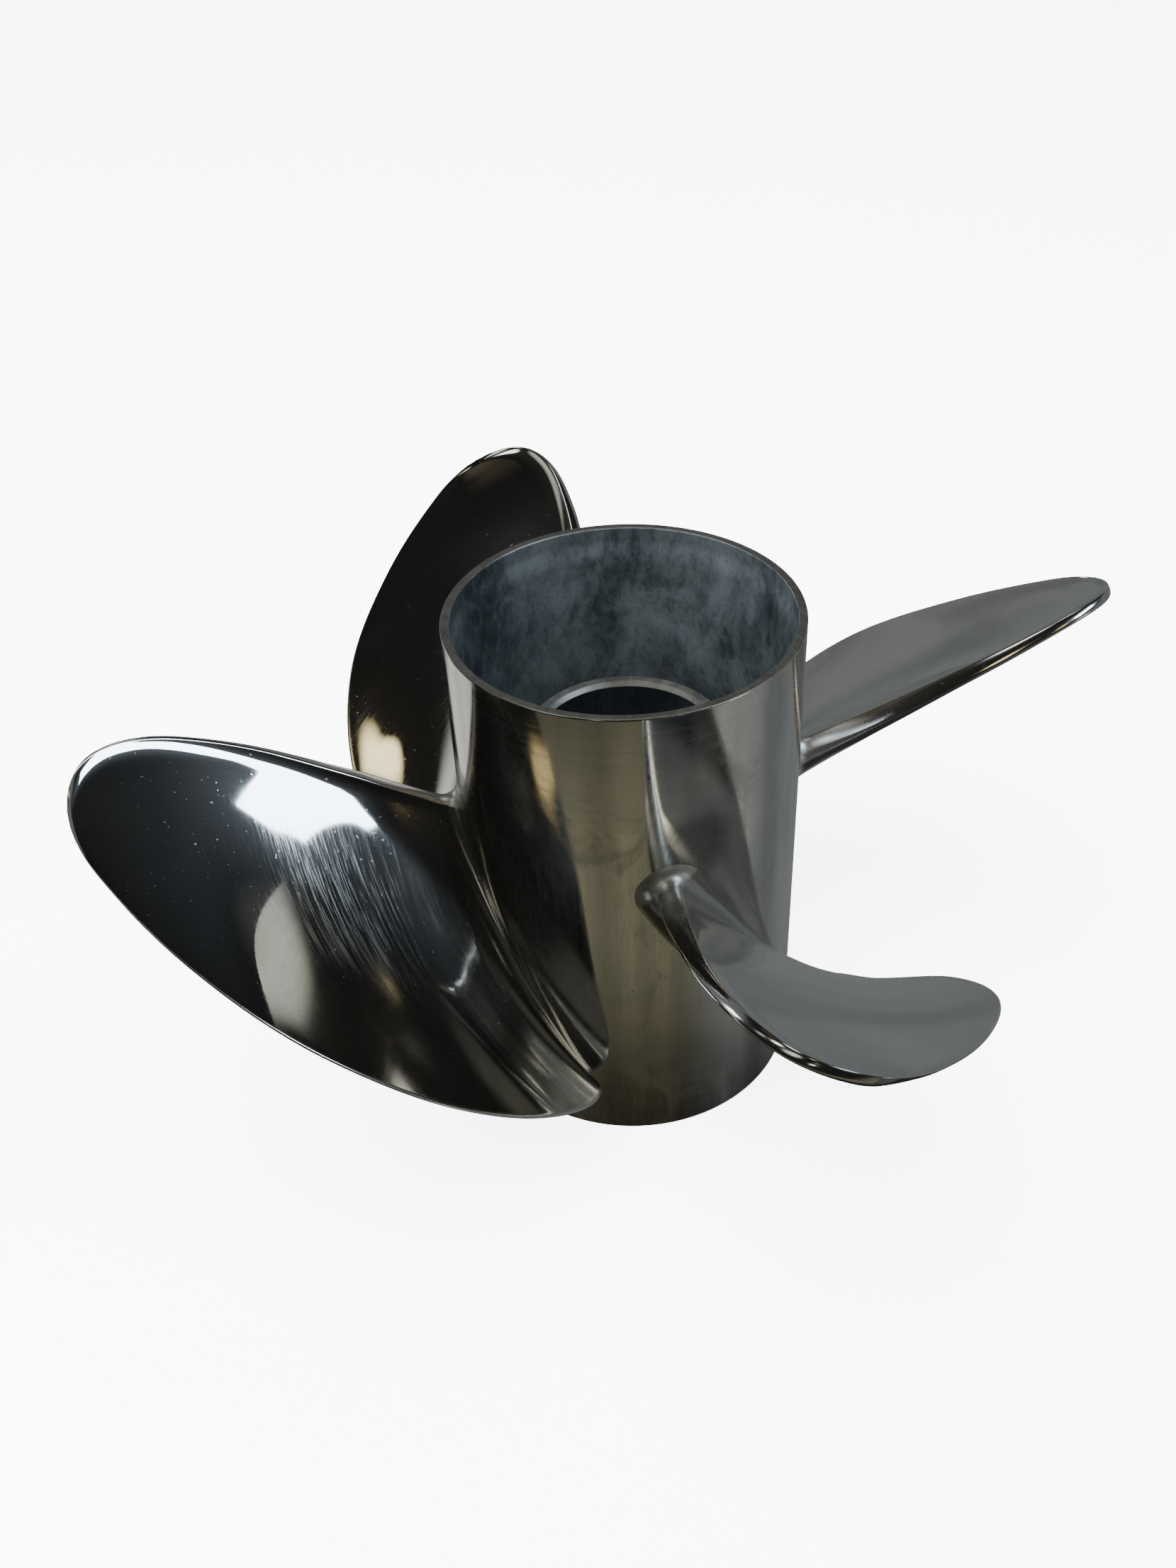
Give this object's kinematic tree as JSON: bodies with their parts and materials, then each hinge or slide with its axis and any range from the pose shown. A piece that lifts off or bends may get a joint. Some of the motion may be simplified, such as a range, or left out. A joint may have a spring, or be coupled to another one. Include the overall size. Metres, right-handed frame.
{
  "type": "outboard propeller",
  "caption": "Boat propeller with swept, cupped blades on an exhaust barrel, around an inner hub tube carried by webs.",
  "frame": {"origin": "centre of the barrel's forward end, which the propeller stands on", "axes": "+Z along the shaft, towards the aft end; +X is a free choice, as the propeller repeats every quarter turn"},
  "size_m": [0.3708, 0.3708, 0.197],
  "materials": {
    "barrel": "polished stainless, turned bright at the aft rim",
    "inner_hub": "turned face, cast sides",
    "web": "as cast, satin",
    "blade": "mirror polished stainless"
  },
  "bodies": {
    "root": {"barrel": "barrel", "inner_hub": "inner_hub", "web_1": "web", "web_2": "web", "web_3": "web", "web_4": "web", "blade_1": "blade", "blade_2": "blade", "blade_3": "blade", "blade_4": "blade"}
  },
  "joints": []
}
